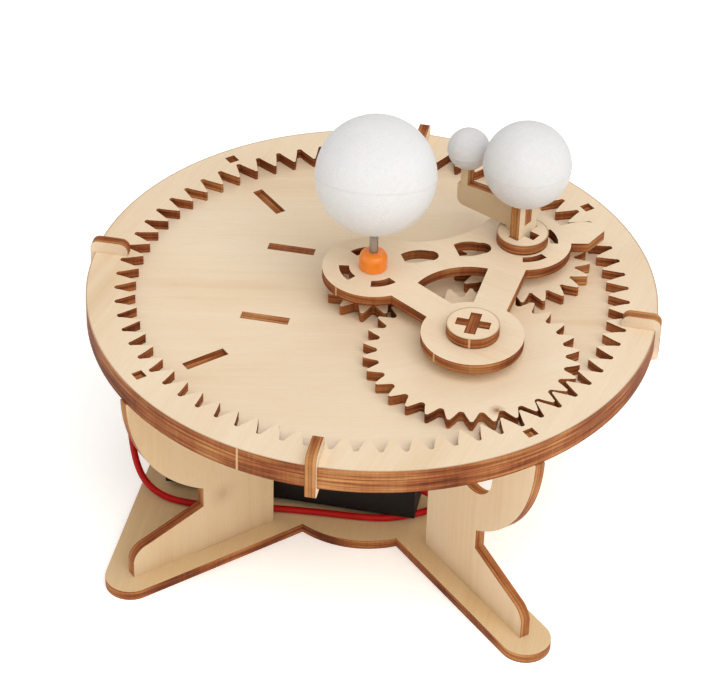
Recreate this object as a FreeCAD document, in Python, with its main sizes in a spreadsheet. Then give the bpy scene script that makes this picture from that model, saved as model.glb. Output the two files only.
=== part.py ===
import FreeCAD, Part
import math
import os

import Sketcher

# A motorised Sun, Earth and Moon model in laser-cut plywood.
# Millimetres, +Z up, origin on the ground under the sun's axis.
# The edge clips lie on the X and Y axes, and the legs and uprights on the diagonals.

Vector = FreeCAD.Vector
Z_AXIS = Vector(0, 0, 1)
ALONG_X = FreeCAD.Rotation(Vector(0, 1, 0), 90)
ORIGIN = Vector(0, 0, 0)

doc = FreeCAD.newDocument("orrery")

SIZES = [
    # stock and fits
    ("ply", 3, "thickness of every wooden sheet but the base disc"),
    ("slip", 0.05, "clearance on each side of a tab in its slot"),
    ("play", 0.4, "axial play between stacked moving sheets"),
    # base plate
    ("legCentre", 79.7, "distance of each rounded leg tip's centre from the origin"),
    ("legHalfWidth", 7.25, "half the width of a leg, and the radius of its tip"),
    ("hubRadius", 27.7, "round middle of the base plate"),
    # deck: base disc with the ring gear on it
    ("deckRadius", 80, "outer radius of the base disc and of the ring gear"),
    ("deckUnderside", 65.8, "height of the base disc's underside"),
    ("discPly", 4.2, "thickness of the base disc"),
    ("boreRadius", 3.7, "hole in the base disc for the gearbox boss"),
    ("notchDepth", 2.2, "depth of the four rim notches that the clips sit in"),
    # uprights
    ("uprightInner", 33.2, "distance of an upright's inner edge from the origin"),
    ("footOuter", 79.4, "distance of an upright's foot end from the origin"),
    ("wingOuter", 80.4, "distance of an upright's wing tip from the origin"),
    ("waist", 56.5, "distance of the narrow part of an upright from the origin"),
    ("innerTabStart", 48.1, "inner end of the long tab into the base disc"),
    ("innerTabEnd", 61.0, "outer end of the long tab into the base disc"),
    ("innerTabRise", 3, "how far the long tab enters the base disc"),
    ("pegCentre", 75.25, "distance of the small square peg from the origin"),
    ("pegWidth", 3, "width of the small square peg"),
    ("pegRise", 6, "how far the square peg enters the deck"),
    ("footTabStart", 42, "inner end of the tab into the base plate"),
    ("footTabEnd", 60.5, "outer end of the tab into the base plate"),
    ("eyeCentre", 52.5, "distance of the upright's round hole from the origin"),
    ("eyeHeight", 47.7, "height of the upright's round hole"),
    ("eyeRadius", 9.7, "radius of the upright's round hole"),
    # edge clips
    ("clipInner", 70.4, "distance of a clip's finger ends from the origin"),
    ("clipOuter", 81.3, "distance of a clip's back from the origin"),
    ("clipFinger", 3.7, "height of the upper finger above the ring gear"),
    ("clipLowerFinger", 3, "height of the lower finger under the base disc"),
    # motor rails and shelf
    ("railOffset", 16.85, "distance of each motor rail from the X axis"),
    ("railTabStart", -33.7, "left end of a rail's tab"),
    ("railTabEnd", -20.2, "right end of a rail's tab"),
    ("shelfTop", 46.8, "height of the motor shelf's top face"),
    ("shelfHalfWidth", 19.6, "half the length of the motor shelf, tabs included"),
    # gear motor
    ("gearboxWidth", 22.4, "width of the gearbox"),
    ("gearboxHeight", 17.6, "height of the gearbox"),
    ("gearboxFront", 11, "distance of the gearbox's front end from the shaft"),
    ("gearboxBack", -26, "place of the gearbox's back end"),
    ("motorRadius", 10.1, "radius of the motor can"),
    ("motorFlat", 7.6, "half the height of the motor can across its flats"),
    ("motorLength", 24.5, "length of the motor can"),
    ("screwHead", 2.2, "radius of a gearbox screw's head"),
    ("screwShank", 1.25, "radius of a gearbox screw's shank"),
    ("screwHeadHeight", 1.2, "height of a gearbox screw's head"),
    ("capHeight", 2.4, "how far the motor's plastic end stands out"),
    ("tagOffset", 5.2, "distance of each solder tag from the motor's middle"),
    ("bossRadius", 3.5, "radius of the gearbox boss"),
    ("shaftRadius", 1.25, "radius of the steel sun shaft"),
    # battery box
    ("boxLength", 74, "length of the battery box"),
    ("boxWidth", 34, "width of the battery box"),
    ("boxHeight", 16.2, "height of the battery tray"),
    ("boxCentre", -19.4, "place of the battery box's middle along X"),
    ("boxWall", 1.5, "wall of the battery box"),
    ("padHeight", 2.3, "height of the foam pad under the battery box"),
    ("padLength", 54, "length of the foam pad"),
    ("padWidth", 22, "width of the foam pad"),
    ("switchLength", 13, "length of the switch's housing"),
    ("switchWidth", 5.6, "width of the switch's housing"),
    ("sliderLength", 4, "length of the switch's slider"),
    ("sliderWidth", 3.2, "width of the switch's slider"),
    ("cellRadius", 7.2, "radius of a battery cell"),
    ("cellLength", 49.2, "length of a battery cell without its nipple"),
    ("nippleRadius", 2.7, "radius of a battery cell's nipple"),
    ("nippleHeight", 1.2, "height of a battery cell's nipple"),
    ("lidScrewDepth", 2.8, "how far the lid's screw enters the tray"),
    # gears
    ("ringTeeth", 68, "internal teeth of the fixed ring gear"),
    ("planetTeeth", 30, "teeth of the big gear"),
    ("sunTeeth", 12, "teeth of the driven pinion"),
    ("earthTeeth", 20, "teeth of the earth gear"),
    ("planetDistance", 40, "distance of the big gear's axis from the sun's"),
    ("earthLink", 46, "distance of the earth's axis from the big gear's"),
    ("planetAzimuth", -36.3, "direction of the big gear's axis from the sun"),
    ("earthBearing", 82.1, "direction of the earth's axis from the big gear"),
    # carrier and what turns on it
    ("armUnderside", 77.3, "height of the carrier arm's underside"),
    ("armSunRadius", 14.2, "round end of the arm at the sun"),
    ("armPlanetRadius", 14.1, "round end of the arm at the big gear"),
    ("armEarthRadius", 13.9, "round end of the arm at the earth"),
    ("pivotRadius", 5.1, "holes in the arm for the crossed axles"),
    ("axleWidth", 9.4, "width of an axle strip"),
    ("washerRadius", 7.3, "radius of the washers and spacers"),
    ("bushingRadius", 3.9, "radius of the orange bushing"),
    ("bushingHeight", 5.1, "height of the orange bushing"),
    # the three balls
    ("sunBallRadius", 16.9, "radius of the sun ball"),
    ("sunBallHeight", 111.1, "height of the sun ball's centre"),
    ("earthBallRadius", 12.5, "radius of the earth ball"),
    ("earthBallHeight", 106.2, "height of the earth ball's centre"),
    ("moonBallRadius", 6.2, "radius of the moon ball"),
    ("moonBallHeight", 102.8, "height of the moon ball's centre"),
    ("moonDistance", 20.1, "distance of the moon from the earth's axis"),
    ("moonAzimuth", 153, "direction of the moon arm"),
    # wire
    ("wireRadius", 1, "radius of the red wire"),
]

# The middle line of the red wire: from the motor's tag out past the left of the stand, down to the
# base plate, along the front of the battery box, under its corner and up into its right end.
WIRE_ROUTE = [
    Vector(-56.1, -5.2, 57.0),
    Vector(-60.2, -5.5, 56.5),
    Vector(-65.2, -8.2, 50.6),
    Vector(-67.9, -12.2, 37.5),
    Vector(-67.0, -16.2, 21.0),
    Vector(-63.6, -19.8, 8.4),
    Vector(-56.6, -22.6, 4.1),
    Vector(-46.5, -24.0, 4.1),
    Vector(-34.5, -22.3, 4.1),
    Vector(-22.5, -20.2, 4.1),
    Vector(-9.5, -19.1, 4.1),
    Vector(1.5, -18.5, 4.1),
    Vector(8.8, -17.5, 4.1),
    Vector(13.6, -15.6, 4.1),
    Vector(18.2, -12.9, 4.1),
    Vector(21.2, -11.4, 4.6),
    Vector(22.6, -10.5, 7.1),
    Vector(21.0, -9.9, 9.6),
    Vector(17.6, -9.5, 10.2),
]

# The four screws of the gearbox, as X and Y.
SCREW_PLACES = [(8.4, 8.6), (8.4, -8.6), (-22.0, 8.6), (-22.0, -8.6)]

sheet = doc.addObject("Spreadsheet::Sheet", "sizes")
for row, (alias, number, note) in enumerate(SIZES, start=1):
    sheet.set(f"A{row}", note)
    sheet.set(f"B{row}", str(number))
    sheet.setAlias(f"B{row}", alias)
doc.recompute()


def size(alias):
    """The number in the sheet's cell of this alias."""
    return float(sheet.get(alias))


ply = size("ply")
slip = size("slip")
deck_underside = size("deckUnderside")
disc_top = deck_underside + size("discPly")
ring_top = disc_top + ply
gear_bottom = disc_top + size("play")
arm_top = size("armUnderside") + ply
washer_bottom = arm_top + 0.3
washer_top = washer_bottom + ply

# The same heights as expressions on the sheet.
DISC_TOP = "sizes.deckUnderside + sizes.discPly"
GEAR_BOTTOM = "sizes.deckUnderside + sizes.discPly + sizes.play"
SPACER_BOTTOM = "sizes.deckUnderside + sizes.discPly + sizes.ply + 2 * sizes.play"
WASHER_BOTTOM = "sizes.armUnderside + sizes.ply + 0.3"


# ---------------------------------------------------------------- helpers

def polar(radius, degrees, centre=ORIGIN):
    """The point at this radius and direction from the centre."""
    angle = math.radians(degrees)
    return centre + Vector(radius * math.cos(angle), radius * math.sin(angle), 0)


PLANET_AXIS = polar(size("planetDistance"), size("planetAzimuth"))
EARTH_AXIS = polar(size("earthLink"), size("earthBearing"), PLANET_AXIS)


def new_body(label, place=ORIGIN, turn=0):
    """An empty body with its own label, set at a place and turned about Z."""
    body = doc.addObject("PartDesign::Body", label)
    body.Label = label
    body.Placement = FreeCAD.Placement(place, FreeCAD.Rotation(Z_AXIS, turn))
    return body


def origin_plane(body, role):
    """One of the body's own three origin planes."""
    return next(item for item in body.Origin.OriginFeatures if item.Role == role)


def new_sketch(body, role="XY_Plane", offset=None):
    """A sketch on an origin plane, moved along its normal by an expression."""
    sketch = body.newObject("Sketcher::SketchObject", "sketch")
    sketch.AttachmentSupport = [(origin_plane(body, role), "")]
    sketch.MapMode = "FlatFace"
    if offset:
        sketch.setExpression("AttachmentOffset.Base.z", offset)
    return sketch


def bind(sketch, kind, references, expression):
    """A dimension of the sketch that follows an expression on the sheet."""
    index = sketch.addConstraint(Sketcher.Constraint(kind, *references, 1.0))
    sketch.setExpression(f"Constraints[{index}]", expression)


def add_circle(sketch, radius, centre=ORIGIN):
    """A circle whose radius is an expression, fixed at its centre."""
    circle = Part.Circle(Vector(centre.x, centre.y, 0), Z_AXIS, 1)
    index = sketch.addGeometry(circle, False)
    sketch.addConstraint(Sketcher.Constraint("DistanceX", -1, 1, index, 3, centre.x))
    sketch.addConstraint(Sketcher.Constraint("DistanceY", -1, 1, index, 3, centre.y))
    bind(sketch, "Radius", (index,), radius)


def add_rectangle(sketch, left, low, width, height):
    """A rectangle from its lower left corner; all four sizes are expressions."""
    corners = [Vector(-1, -1, 0), Vector(1, -1, 0), Vector(1, 1, 0), Vector(-1, 1, 0)]
    first = sketch.GeometryCount
    for start, end in zip(corners, corners[1:] + corners[:1]):
        sketch.addGeometry(Part.LineSegment(start, end), False)
    for side in range(4):
        following = first + (side + 1) % 4
        sketch.addConstraint(Sketcher.Constraint("Coincident", first + side, 2, following, 1))
    for side, kind in enumerate(("Horizontal", "Vertical", "Horizontal", "Vertical")):
        sketch.addConstraint(Sketcher.Constraint(kind, first + side))
    bind(sketch, "DistanceX", (-1, 1, first, 1), left)
    bind(sketch, "DistanceY", (-1, 1, first, 1), low)
    bind(sketch, "DistanceX", (first, 1, first, 2), width)
    bind(sketch, "DistanceY", (first + 1, 1, first + 1, 2), height)


def add_outline(sketch, start, steps):
    """A closed outline: each step is an end point, or a middle and an end point of an arc."""
    here = start
    for step in steps:
        if isinstance(step, tuple):
            middle, end = step
            sketch.addGeometry(Part.Arc(here, middle, end), False)
        else:
            end = step
            sketch.addGeometry(Part.LineSegment(here, end), False)
        here = end


def pad(body, sketch, length, side="One side"):
    """Adds the sketch's area as a solid of this length, an expression."""
    feature = body.newObject("PartDesign::Pad", "pad")
    feature.Profile = sketch
    feature.SideType = side
    feature.setExpression("Length", length)
    return feature


def cut_through(body, sketch):
    """Cuts the sketch's area out of the body, all the way both ways."""
    feature = body.newObject("PartDesign::Pocket", "pocket")
    feature.Profile = sketch
    feature.SideType = "Symmetric"
    feature.Type = "ThroughAll"
    return feature


def revolve(body, sketch, angle=360):
    """Turns a sketch on the XZ plane about the body's vertical axis."""
    feature = body.newObject("PartDesign::Revolution", "revolution")
    feature.Profile = sketch
    feature.ReferenceAxis = (sketch, ["V_Axis"])
    feature.Angle = angle
    return feature


def flat_disc(label, radius, bottom, bore=None, place=ORIGIN, turn=0, thickness="sizes.ply"):
    """A round sheet of plywood; radius, bottom, bore and thickness are expressions."""
    body = new_body(label, place, turn)
    sketch = new_sketch(body, offset=bottom)
    add_circle(sketch, radius)
    if bore:
        add_circle(sketch, bore)
    pad(body, sketch, thickness)
    return body


# ---------------------------------------------------------------- gears

# How far a gear's blank stops short of its tooth tips, which the cutting of the spaces rounds.
CREST = 0.02


def tooth_space(teeth, tip, flank, root, side, turn):
    """The outline of one tooth space centred on the direction turn.

    It runs from a rounded tooth tip down the tooth's flank, round the root and back up.
    flank gives three places, each a radius and half the width of the tooth there.
    side is 1 for teeth that point outwards and -1 for teeth that point inwards.
    """
    half_pitch = 180 / teeth
    outside = tip + side
    shoulder, shoulder_width = flank[0]
    half_tooth = shoulder_width / shoulder
    chord = shoulder * math.cos(half_tooth)
    tip_centre = (tip ** 2 - shoulder ** 2) / (2 * (tip - chord))
    tip_radius = tip - tip_centre
    swing = side * math.atan2(shoulder * math.sin(half_tooth), side * (chord - tip_centre))

    def tip_middle(sign):
        along = tip_centre + tip_radius * math.cos(swing / 2)
        across = -sign * tip_radius * math.sin(swing / 2)
        lean = math.degrees(math.atan2(across, along))
        return polar(math.hypot(along, across), turn + sign * half_pitch + lean)

    def flank_point(place, sign):
        radius, half_width = flank[place]
        return polar(radius, turn + sign * (half_pitch - math.degrees(half_width / radius)))

    start = polar(tip, turn - half_pitch)
    steps = [
        (tip_middle(-1), flank_point(0, -1)),
        (flank_point(1, -1), flank_point(2, -1)),
        (polar(root, turn), flank_point(2, 1)),
        (flank_point(1, 1), flank_point(0, 1)),
        (tip_middle(1), polar(tip, turn + half_pitch)),
        polar(outside, turn + half_pitch),
        (polar(outside, turn), polar(outside, turn - half_pitch)),
        start,
    ]
    return start, steps


def cut_teeth(body, outline, teeth_alias):
    """Cuts one tooth space and repeats it round the body's axis."""
    sketch = new_sketch(body)
    add_outline(sketch, *outline)
    pocket = cut_through(body, sketch)
    pattern = body.newObject("PartDesign::PolarPattern", "teeth")
    pattern.Originals = [pocket]
    pattern.Axis = (sketch, ["N_Axis"])
    pattern.Angle = 360
    pattern.setExpression("Occurrences", f"sizes.{teeth_alias}")
    body.Tip = pattern


# A space of the ring gear is centred on each diagonal. From there the mesh gives the others.
ring_pitch = 360 / size("ringTeeth")
ring_space = 45 + ring_pitch * round((size("planetAzimuth") - 45) / ring_pitch)
planet_pitch = 360 / size("planetTeeth")
planet_tooth = size("planetAzimuth") + (ring_space - size("planetAzimuth")) * planet_pitch / ring_pitch


def meshing_space(direction, teeth):
    """The direction of a tooth space on a gear that the big gear's teeth enter.

    direction is from the big gear's axis to the other gear's axis.
    """
    nearest = planet_tooth + planet_pitch * round((direction - planet_tooth) / planet_pitch)
    return direction + 180 - (nearest - direction) * size("planetTeeth") / teeth


sun_space = meshing_space(size("planetAzimuth") + 180, size("sunTeeth"))
earth_space = meshing_space(size("earthBearing"), size("earthTeeth"))

CROSS_TURN = -2.5
# The teeth: tip radius, three places of the flank as radius and half width, and root radius.
RING_SHAPE = {"tip": 66.2, "flank": [(66.8, 0.52), (68.8, 1.45), (71.2, 2.46)], "root": 72.1}
PLANET_SHAPE = {"tip": 29.65, "flank": [(29.1, 0.62), (27.7, 1.27), (26.3, 1.82)], "root": 25.65}
SUN_SHAPE = {"tip": 12.9, "flank": [(12.4, 0.62), (11.0, 1.18), (9.7, 1.72)], "root": 9.0}
EARTH_SHAPE = {"tip": 19.7, "flank": [(19.1, 0.62), (17.6, 1.28), (16.1, 1.88)], "root": 15.4}


def plain_gear(label, shape, teeth_alias, space, place, turn, bore=None):
    """A flat gear of plywood in the gear layer; space is a tooth space's direction."""
    body = new_body(label, place, turn)
    sketch = new_sketch(body, offset=GEAR_BOTTOM)
    add_circle(sketch, f"{shape['tip'] - CREST}")
    if bore:
        add_circle(sketch, bore)
    pad(body, sketch, "sizes.ply")
    outline = tooth_space(size(teeth_alias), side=1, turn=space - turn, **shape)
    cut_teeth(body, outline, teeth_alias)
    return body


def cut_cross(body, arms):
    """Cuts the slots for crossed axle strips: each arm is its start and end along X or Y."""
    for axis, start, end in arms:
        sketch = new_sketch(body)
        along = (f"{start} - sizes.slip", f"{end - start} + 2 * sizes.slip")
        across = ("-sizes.ply / 2 - sizes.slip", "sizes.ply + 2 * sizes.slip")
        if axis == "x":
            add_rectangle(sketch, along[0], across[0], along[1], across[1])
        else:
            add_rectangle(sketch, across[0], along[0], across[1], along[1])
        cut_through(body, sketch)


# ---------------------------------------------------------------- fixed stand

# The legs and uprights.
DIAGONALS = (45, 135, 225, 315)


def cut_slot(body, start, end, middle="0", direction=0):
    """A slot one sheet wide along a direction: start, end and middle line are expressions."""
    sketch = new_sketch(body)
    sketch.AttachmentOffset = FreeCAD.Placement(ORIGIN, FreeCAD.Rotation(Z_AXIS, direction))
    add_rectangle(sketch, f"{start} - sizes.slip", f"{middle} - sizes.ply / 2 - sizes.slip",
                  f"{end} - {start} + 2 * sizes.slip", "sizes.ply + 2 * sizes.slip")
    cut_through(body, sketch)


def make_base_plate():
    """Four legs round a disc, with the left side filled in up to a straight edge."""
    body = new_body("base_plate")
    leg = size("legCentre")
    half = size("legHalfWidth")
    reach = math.sqrt(size("hubRadius") ** 2 - half ** 2)

    def on_leg(direction, along, across):
        return polar(along, direction) + polar(across, direction + 90)

    left_edge = polar(leg, 135).x - half
    upper_left = Vector(left_edge, polar(leg, 135).y, 0)
    lower_left = Vector(left_edge, -upper_left.y, 0)
    start = on_leg(-135, reach, half)
    steps = []
    for direction in (-45, 45):
        steps.append((polar(size("hubRadius"), direction - 45), on_leg(direction, reach, -half)))
        steps.append(on_leg(direction, leg, -half))
        steps.append((polar(leg + half, direction), on_leg(direction, leg, half)))
        steps.append(on_leg(direction, reach, half))
    steps.append((polar(size("hubRadius"), 90), on_leg(135, reach, -half)))
    steps.append(on_leg(135, leg, -half))
    steps.append((on_leg(135, leg, 0) + polar(half, 112.5), upper_left))
    steps.append(lower_left)
    steps.append((on_leg(-135, leg, 0) + polar(half, -112.5), on_leg(-135, leg, half)))
    steps.append(start)
    sketch = new_sketch(body)
    add_outline(sketch, start, steps)
    pad(body, sketch, "sizes.ply")
    for direction in DIAGONALS:
        cut_slot(body, "sizes.footTabStart", "sizes.footTabEnd", direction=direction)


def cut_peg_holes(body):
    """The four square holes for the uprights' pegs."""
    for direction in DIAGONALS:
        cut_slot(body, "(sizes.pegCentre - sizes.pegWidth / 2)",
                 "(sizes.pegCentre + sizes.pegWidth / 2)", direction=direction)


def cut_rim_notches(body):
    """The four notches in the rim for the clips' backs."""
    for direction in (0, 90, 180, 270):
        cut_slot(body, "(sizes.deckRadius - sizes.notchDepth + sizes.slip)",
                 "(sizes.deckRadius + sizes.notchDepth)", direction=direction)


def make_base_disc():
    """The disc that the uprights carry, with slots for their tabs and for the motor rails."""
    body = flat_disc("base_disc", "sizes.deckRadius", "sizes.deckUnderside",
                     bore="sizes.boreRadius", thickness="sizes.discPly")
    for direction in DIAGONALS:
        cut_slot(body, "sizes.innerTabStart", "sizes.innerTabEnd", direction=direction)
    for middle in ("sizes.railOffset", "-sizes.railOffset"):
        cut_slot(body, "sizes.railTabStart", "sizes.railTabEnd", middle=middle)
    cut_peg_holes(body)
    cut_rim_notches(body)


def make_ring_gear():
    """The fixed ring of internal teeth that lies on the base disc."""
    body = flat_disc("ring_gear", "sizes.deckRadius", DISC_TOP, bore=f"{RING_SHAPE['tip'] + CREST}")
    outline = tooth_space(size("ringTeeth"), side=-1, turn=45, **RING_SHAPE)
    cut_teeth(body, outline, "ringTeeth")
    cut_peg_holes(body)
    cut_rim_notches(body)


def make_upright(label, direction):
    """A radial plate: foot, waist and a wing that carries the deck's rim."""
    body = new_body(label, turn=direction)
    foot = size("footOuter")
    wing = size("wingOuter")
    waist = size("waist")
    inner = size("uprightInner")
    top = deck_underside
    wing_low = 25.6
    waist_low = 19.0
    peg_low = size("pegCentre") - size("pegWidth") / 2
    peg_high = size("pegCentre") + size("pegWidth") / 2
    peg_top = top + size("pegRise")
    tab_top = top + size("innerTabRise")
    start = Vector(inner, ply, 0)
    steps = [
        Vector(size("footTabStart"), ply, 0),
        Vector(size("footTabStart"), 0.2, 0),
        Vector(size("footTabEnd"), 0.2, 0),
        Vector(size("footTabEnd"), ply, 0),
        Vector(foot, ply, 0),
        Vector(foot, ply + 5.6, 0),
        (Vector(foot - 1.5, ply + 8.6, 0), Vector(foot - 4.6, ply + 10.2, 0)),
        Vector(waist, waist_low, 0),
        Vector(waist, wing_low, 0),
        (Vector(73.2, 41.5, 0), Vector(wing, top, 0)),
        Vector(peg_high, top, 0),
        Vector(peg_high, peg_top, 0),
        Vector(peg_low, peg_top, 0),
        Vector(peg_low, top, 0),
        Vector(size("innerTabEnd"), top, 0),
        Vector(size("innerTabEnd"), tab_top, 0),
        Vector(size("innerTabStart"), tab_top, 0),
        Vector(size("innerTabStart"), top, 0),
        Vector(inner, top, 0),
        start,
    ]
    sketch = new_sketch(body, "XZ_Plane")
    add_outline(sketch, start, steps)
    pad(body, sketch, "sizes.ply", "Symmetric")
    eye = new_sketch(body, "XZ_Plane")
    add_circle(eye, "sizes.eyeRadius", Vector(size("eyeCentre"), size("eyeHeight"), 0))
    cut_through(body, eye)


def make_clip(label, direction):
    """A C of plywood that grips the two deck sheets at the rim."""
    body = new_body(label, turn=direction)
    inner = size("clipInner")
    outer = size("clipOuter")
    low = deck_underside - size("clipLowerFinger")
    high = ring_top + size("clipFinger")
    back = size("deckRadius") - size("notchDepth") + slip
    round_off = 2.4
    bevel = round_off * (1 - math.sqrt(0.5))
    lower_round_off = 1.4
    lower_bevel = lower_round_off * (1 - math.sqrt(0.5))
    gap = 0.05
    start = Vector(inner + lower_round_off, low, 0)
    steps = [
        Vector(outer - lower_round_off, low, 0),
        (Vector(outer - lower_bevel, low + lower_bevel, 0), Vector(outer, low + lower_round_off, 0)),
        Vector(outer, high - round_off, 0),
        (Vector(outer - bevel, high - bevel, 0), Vector(outer - round_off, high, 0)),
        Vector(inner + round_off, high, 0),
        (Vector(inner + bevel, high - bevel, 0), Vector(inner, high - round_off, 0)),
        Vector(inner, ring_top + gap, 0),
        Vector(back, ring_top + gap, 0),
        Vector(back, deck_underside - gap, 0),
        Vector(inner, deck_underside - gap, 0),
        Vector(inner, low + lower_round_off, 0),
        (Vector(inner + lower_bevel, low + lower_bevel, 0), start),
    ]
    sketch = new_sketch(body, "XZ_Plane")
    add_outline(sketch, start, steps)
    pad(body, sketch, "sizes.ply", "Symmetric")


def make_motor_rail(label, side):
    """A hanging plate with a tab in the base disc and a mortise for the shelf."""
    offset = side * size("railOffset")
    body = new_body(label, place=Vector(0, offset, 0))
    tab_start = size("railTabStart")
    tab_end = size("railTabEnd")
    left = tab_start - 3.5
    right = tab_end + 3.5
    low = size("shelfTop") - 2 * ply
    start = Vector(left, low, 0)
    steps = [
        Vector(right, low, 0),
        Vector(right, deck_underside, 0),
        Vector(tab_end, deck_underside, 0),
        Vector(tab_end, disc_top, 0),
        Vector(tab_start, disc_top, 0),
        Vector(tab_start, deck_underside, 0),
        Vector(left, deck_underside, 0),
        start,
    ]
    sketch = new_sketch(body, "XZ_Plane")
    add_outline(sketch, start, steps)
    pad(body, sketch, "sizes.ply", "Symmetric")
    mortise = new_sketch(body, "XZ_Plane")
    add_rectangle(mortise, "sizes.railTabStart - sizes.slip",
                  "sizes.shelfTop - sizes.ply - sizes.slip",
                  "sizes.railTabEnd - sizes.railTabStart + 2 * sizes.slip",
                  "sizes.ply + 2 * sizes.slip")
    cut_through(body, mortise)


def make_motor_shelf():
    """The sheet under the gear motor, held in the rails' mortises by its two tabs."""
    body = new_body("motor_shelf")
    tab_start = size("railTabStart")
    tab_end = size("railTabEnd")
    wide = size("railOffset") - ply / 2 - slip
    far = size("shelfHalfWidth")
    left = tab_start - 3.5
    right = tab_end + 3.5
    start = Vector(left, -wide, 0)
    steps = [
        Vector(tab_start, -wide, 0),
        Vector(tab_start, -far, 0),
        Vector(tab_end, -far, 0),
        Vector(tab_end, -wide, 0),
        Vector(right, -wide, 0),
        Vector(right, wide, 0),
        Vector(tab_end, wide, 0),
        Vector(tab_end, far, 0),
        Vector(tab_start, far, 0),
        Vector(tab_start, wide, 0),
        Vector(left, wide, 0),
        start,
    ]
    sketch = new_sketch(body, offset="sizes.shelfTop - sizes.ply")
    add_outline(sketch, start, steps)
    pad(body, sketch, "sizes.ply")


# ---------------------------------------------------------------- gear motor

def make_gearbox_half(label, bottom, boss):
    """One shell of the gearbox, with the shaft's bore and four screw holes."""
    body = new_body(label)
    sketch = new_sketch(body, offset=bottom)
    add_rectangle(sketch, "sizes.gearboxBack", "-sizes.gearboxWidth / 2",
                  "sizes.gearboxFront - sizes.gearboxBack", "sizes.gearboxWidth")
    pad(body, sketch, "sizes.gearboxHeight / 2")
    if boss:
        round_boss = new_sketch(body, offset="sizes.deckUnderside")
        add_circle(round_boss, "sizes.bossRadius")
        pad(body, round_boss, "sizes.discPly - 0.2")
    holes = new_sketch(body)
    add_circle(holes, "sizes.shaftRadius + sizes.slip")
    for x, y in SCREW_PLACES:
        add_circle(holes, "1.3", Vector(x, y, 0))
    cut_through(body, holes)


def make_gearbox_screws():
    """Four long screws that hold the gearbox shells together, heads underneath."""
    low = deck_underside - size("gearboxHeight")
    head_height = size("screwHeadHeight")
    shank_length = size("gearboxHeight") - 0.8
    slot_length = 3.0
    slot_width = 0.7
    screws = []
    for x, y in SCREW_PLACES:
        underneath = Vector(x, y, low - head_height)
        head = Part.makeCylinder(size("screwHead"), head_height, underneath)
        shank = Part.makeCylinder(size("screwShank"), shank_length, Vector(x, y, low))
        slot_corner = underneath - Vector(slot_length / 2, slot_width / 2, 0)
        socket = Part.makeBox(slot_length, slot_width, head_height / 2, slot_corner)
        screws.append(head.fuse(shank).cut(socket).removeSplitter())
    feature = doc.addObject("Part::Feature", "gearbox_screws")
    feature.Label = "gearbox_screws"
    feature.Shape = Part.makeCompound(screws)


def make_motor_can():
    """The steel can: a round tube section with two flats."""
    body = new_body("motor_can", place=Vector(size("gearboxBack") - size("motorLength"), 0, 0))
    middle = deck_underside - size("gearboxHeight") / 2
    radius = size("motorRadius")
    flat = size("motorFlat")
    side = math.sqrt(radius ** 2 - flat ** 2)
    start = Vector(side, middle - flat, 0)
    steps = [
        (Vector(radius, middle, 0), Vector(side, middle + flat, 0)),
        Vector(-side, middle + flat, 0),
        (Vector(-radius, middle, 0), Vector(-side, middle - flat, 0)),
        start,
    ]
    sketch = new_sketch(body, "YZ_Plane")
    add_outline(sketch, start, steps)
    pad(body, sketch, "sizes.motorLength")


def make_motor_cap():
    """The plastic end of the motor with its two solder tags."""
    back = size("gearboxBack") - size("motorLength")
    middle = deck_underside - size("gearboxHeight") / 2
    face = back - size("capHeight")
    bearing_height = 1.4
    tag_length = 3.0
    tag_width = 2.0
    tag_thickness = 0.6
    cap = doc.addObject("Part::Cylinder", "cap_round")
    cap.setExpression("Radius", "sizes.motorFlat - 0.3")
    cap.setExpression("Height", "sizes.capHeight")
    cap.Placement = FreeCAD.Placement(Vector(face, 0, middle), ALONG_X)
    bearing = doc.addObject("Part::Cylinder", "cap_bearing")
    bearing.Radius = 2.5
    bearing.Height = bearing_height
    bearing.Placement = FreeCAD.Placement(Vector(face - bearing_height, 0, middle), ALONG_X)
    tags = []
    for offset in (-size("tagOffset"), size("tagOffset")):
        tag = doc.addObject("Part::Box", "cap_tag")
        tag.Length = tag_length
        tag.Width = tag_width
        tag.Height = tag_thickness
        tag.Placement.Base = Vector(face - tag_length, offset - tag_width / 2,
                                    middle - tag_thickness / 2)
        tags.append(tag)
    fused = doc.addObject("Part::MultiFuse", "motor_cap")
    fused.Label = "motor_cap"
    fused.Shapes = [cap, bearing] + tags


# ---------------------------------------------------------------- battery box

BOX_BOTTOM = "sizes.ply + sizes.padHeight"
box_bottom = ply + size("padHeight")
box_left = size("boxCentre") - size("boxLength") / 2
box_right = size("boxCentre") + size("boxLength") / 2
box_top = box_bottom + size("boxHeight")
bay_divider = box_left + 57.6
switch_x = bay_divider + 7.9
lid_screw_x = bay_divider - 3
cell_start = box_left + size("boxWall") + 4.2
cell_height = box_bottom + size("boxWall") + size("cellRadius") + 0.1
cell_offset = 7.9


def make_foam_pad():
    """The double-sided foam pad between the base plate and the battery box."""
    body = new_body("foam_pad")
    sketch = new_sketch(body, offset="sizes.ply")
    add_rectangle(sketch, "sizes.boxCentre - 30", "-sizes.padWidth / 2",
                  "sizes.padLength", "sizes.padWidth")
    pad(body, sketch, "sizes.padHeight")


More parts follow.
